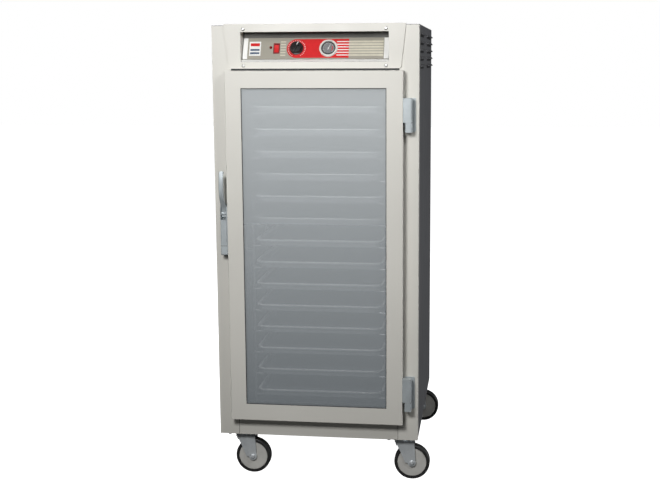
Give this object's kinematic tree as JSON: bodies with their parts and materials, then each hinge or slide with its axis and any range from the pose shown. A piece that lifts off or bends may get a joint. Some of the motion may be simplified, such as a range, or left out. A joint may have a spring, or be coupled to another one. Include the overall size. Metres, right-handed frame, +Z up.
{
  "type": "proofing cabinet",
  "caption": "Upright heated proofing cabinet with a glazed hinged door, sheet pans on wire slides, a recessed control panel and swivel casters.",
  "frame": {"origin": "on the floor under the middle of the cabinet body", "axes": "+Z up, the door faces -Y, +X to the right of a person facing the door"},
  "size_m": [0.7601, 0.8185, 1.61],
  "materials": {
    "front_paint": "satin",
    "side_paint": "satin",
    "frame_steel": "satin",
    "liner_aluminium": "satin",
    "pan_aluminium": "satin",
    "wire_chrome": "gloss",
    "zinc": "satin",
    "latch_metal": "satin",
    "screw_steel": "gloss",
    "panel_face": "satin",
    "bracket_white": "satin",
    "clear_glass": "gloss",
    "gasket_rubber": "matte",
    "tread_rubber": "matte",
    "wheel_plastic": "satin",
    "black_plastic": "satin",
    "red_plastic": "gloss",
    "needle_white": "satin",
    "heater_steel": "matte",
    "mineral_wool": "matte"
  },
  "bodies": {
    "cabinet": {"front_posts": "front_paint", "front_sill": "front_paint", "door_header": "front_paint", "control_rail": "front_paint", "control_hood": "front_paint", "side_panel_left": "side_paint", "side_panel_right": "side_paint", "back_panel": "side_paint", "top_panel": "side_paint", "base_frame": "frame_steel", "liner_sides": "liner_aluminium", "liner_back": "liner_aluminium", "liner_floor": "liner_aluminium", "module_deck": "liner_aluminium", "air_baffle": "liner_aluminium", "sheet_pans": "pan_aluminium", "water_pan": "pan_aluminium", "slide_rack_left": "wire_chrome", "slide_rack_right": "wire_chrome", "caster_plates": "zinc", "caster_bolts": "zinc", "hinge_frame_leaves": "latch_metal", "latch_strike": "latch_metal", "hood_screws": "screw_steel", "control_panel": "panel_face", "panel_brackets": "bracket_white", "thermometer_lens": "clear_glass", "switch_bezel": "black_plastic", "thermostat_body": "black_plastic", "power_inlet": "black_plastic", "blower_motor": "black_plastic", "pilot_lamp": "red_plastic", "thermometer_case": "screw_steel", "heater_element": "heater_steel", "insulation": "mineral_wool"},
    "door": {"door_skin": "front_paint", "door_liner": "liner_aluminium", "outer_glass": "clear_glass", "inner_glass": "clear_glass", "glazing_gaskets": "gasket_rubber", "door_gasket": "gasket_rubber", "hinge_door_leaves": "latch_metal", "latch_body": "latch_metal"},
    "lever": {"latch_lever": "latch_metal"},
    "knob": {"thermostat_knob": "black_plastic"},
    "rocker": {"power_rocker": "red_plastic"},
    "needle": {"thermometer_needle": "needle_white"},
    "blower": {"blower_wheel": "liner_aluminium"},
    "front_left_swivel": {"front_left_fork": "zinc"},
    "front_left_wheel": {"front_left_hub": "wheel_plastic", "front_left_tyre": "tread_rubber"},
    "front_right_swivel": {"front_right_fork": "zinc"},
    "front_right_wheel": {"front_right_hub": "wheel_plastic", "front_right_tyre": "tread_rubber"},
    "rear_left_swivel": {"rear_left_fork": "zinc"},
    "rear_left_wheel": {"rear_left_hub": "wheel_plastic", "rear_left_tyre": "tread_rubber"},
    "rear_right_swivel": {"rear_right_fork": "zinc"},
    "rear_right_wheel": {"rear_right_hub": "wheel_plastic", "rear_right_tyre": "tread_rubber"}
  },
  "joints": [
    {"name": "door_hinge", "type": "hinge", "parent": "cabinet", "child": "door", "pos_m": [0.323, -0.405, 0.8], "axis": [0, 0, 1], "range_deg": [0, 180]},
    {"name": "latch_pull", "type": "hinge", "parent": "door", "child": "lever", "pos_m": [-0.3185, -0.402, 0.962], "axis": [1, 0, 0], "range_deg": [0, 25], "stiffness_Nm_per_rad": 2, "springref_deg": -8.59},
    {"name": "thermostat_turn", "type": "hinge", "parent": "cabinet", "child": "knob", "pos_m": [-0.065, -0.35, 1.527], "axis": [0, -0.9231, 0.3846], "range_deg": [-150, 150]},
    {"name": "power_switch", "type": "hinge", "parent": "cabinet", "child": "rocker", "pos_m": [-0.1346, -0.34723, 1.52585], "axis": [1, 0, 0], "range_deg": [-20, 0]},
    {"name": "thermometer_turn", "type": "hinge", "parent": "cabinet", "child": "needle", "pos_m": [0.045, -0.35249, 1.52804], "axis": [0, -0.9231, 0.3846], "range_deg": [-110, 160]},
    {"name": "blower_spin", "type": "hinge", "parent": "cabinet", "child": "blower", "pos_m": [0, 0, 1.422], "axis": [0, 0, 1], "continuous": true},
    {"name": "front_left_swivel_turn", "type": "hinge", "parent": "cabinet", "child": "front_left_swivel", "pos_m": [-0.289, -0.325, 0.147], "axis": [0, 0, 1], "continuous": true},
    {"name": "front_left_wheel_roll", "type": "hinge", "parent": "front_left_swivel", "child": "front_left_wheel", "pos_m": [-0.245, -0.325, 0.0635], "axis": [0, 1, 0], "continuous": true},
    {"name": "front_right_swivel_turn", "type": "hinge", "parent": "cabinet", "child": "front_right_swivel", "pos_m": [0.289, -0.325, 0.147], "axis": [0, 0, 1], "continuous": true},
    {"name": "front_right_wheel_roll", "type": "hinge", "parent": "front_right_swivel", "child": "front_right_wheel", "pos_m": [0.333, -0.325, 0.0635], "axis": [0, 1, 0], "continuous": true},
    {"name": "rear_left_swivel_turn", "type": "hinge", "parent": "cabinet", "child": "rear_left_swivel", "pos_m": [-0.289, 0.31, 0.147], "axis": [0, 0, 1], "continuous": true},
    {"name": "rear_left_wheel_roll", "type": "hinge", "parent": "rear_left_swivel", "child": "rear_left_wheel", "pos_m": [-0.245, 0.31, 0.0635], "axis": [0, 1, 0], "continuous": true},
    {"name": "rear_right_swivel_turn", "type": "hinge", "parent": "cabinet", "child": "rear_right_swivel", "pos_m": [0.289, 0.31, 0.147], "axis": [0, 0, 1], "continuous": true},
    {"name": "rear_right_wheel_roll", "type": "hinge", "parent": "rear_right_swivel", "child": "rear_right_wheel", "pos_m": [0.333, 0.31, 0.0635], "axis": [0, 1, 0], "continuous": true}
  ]
}
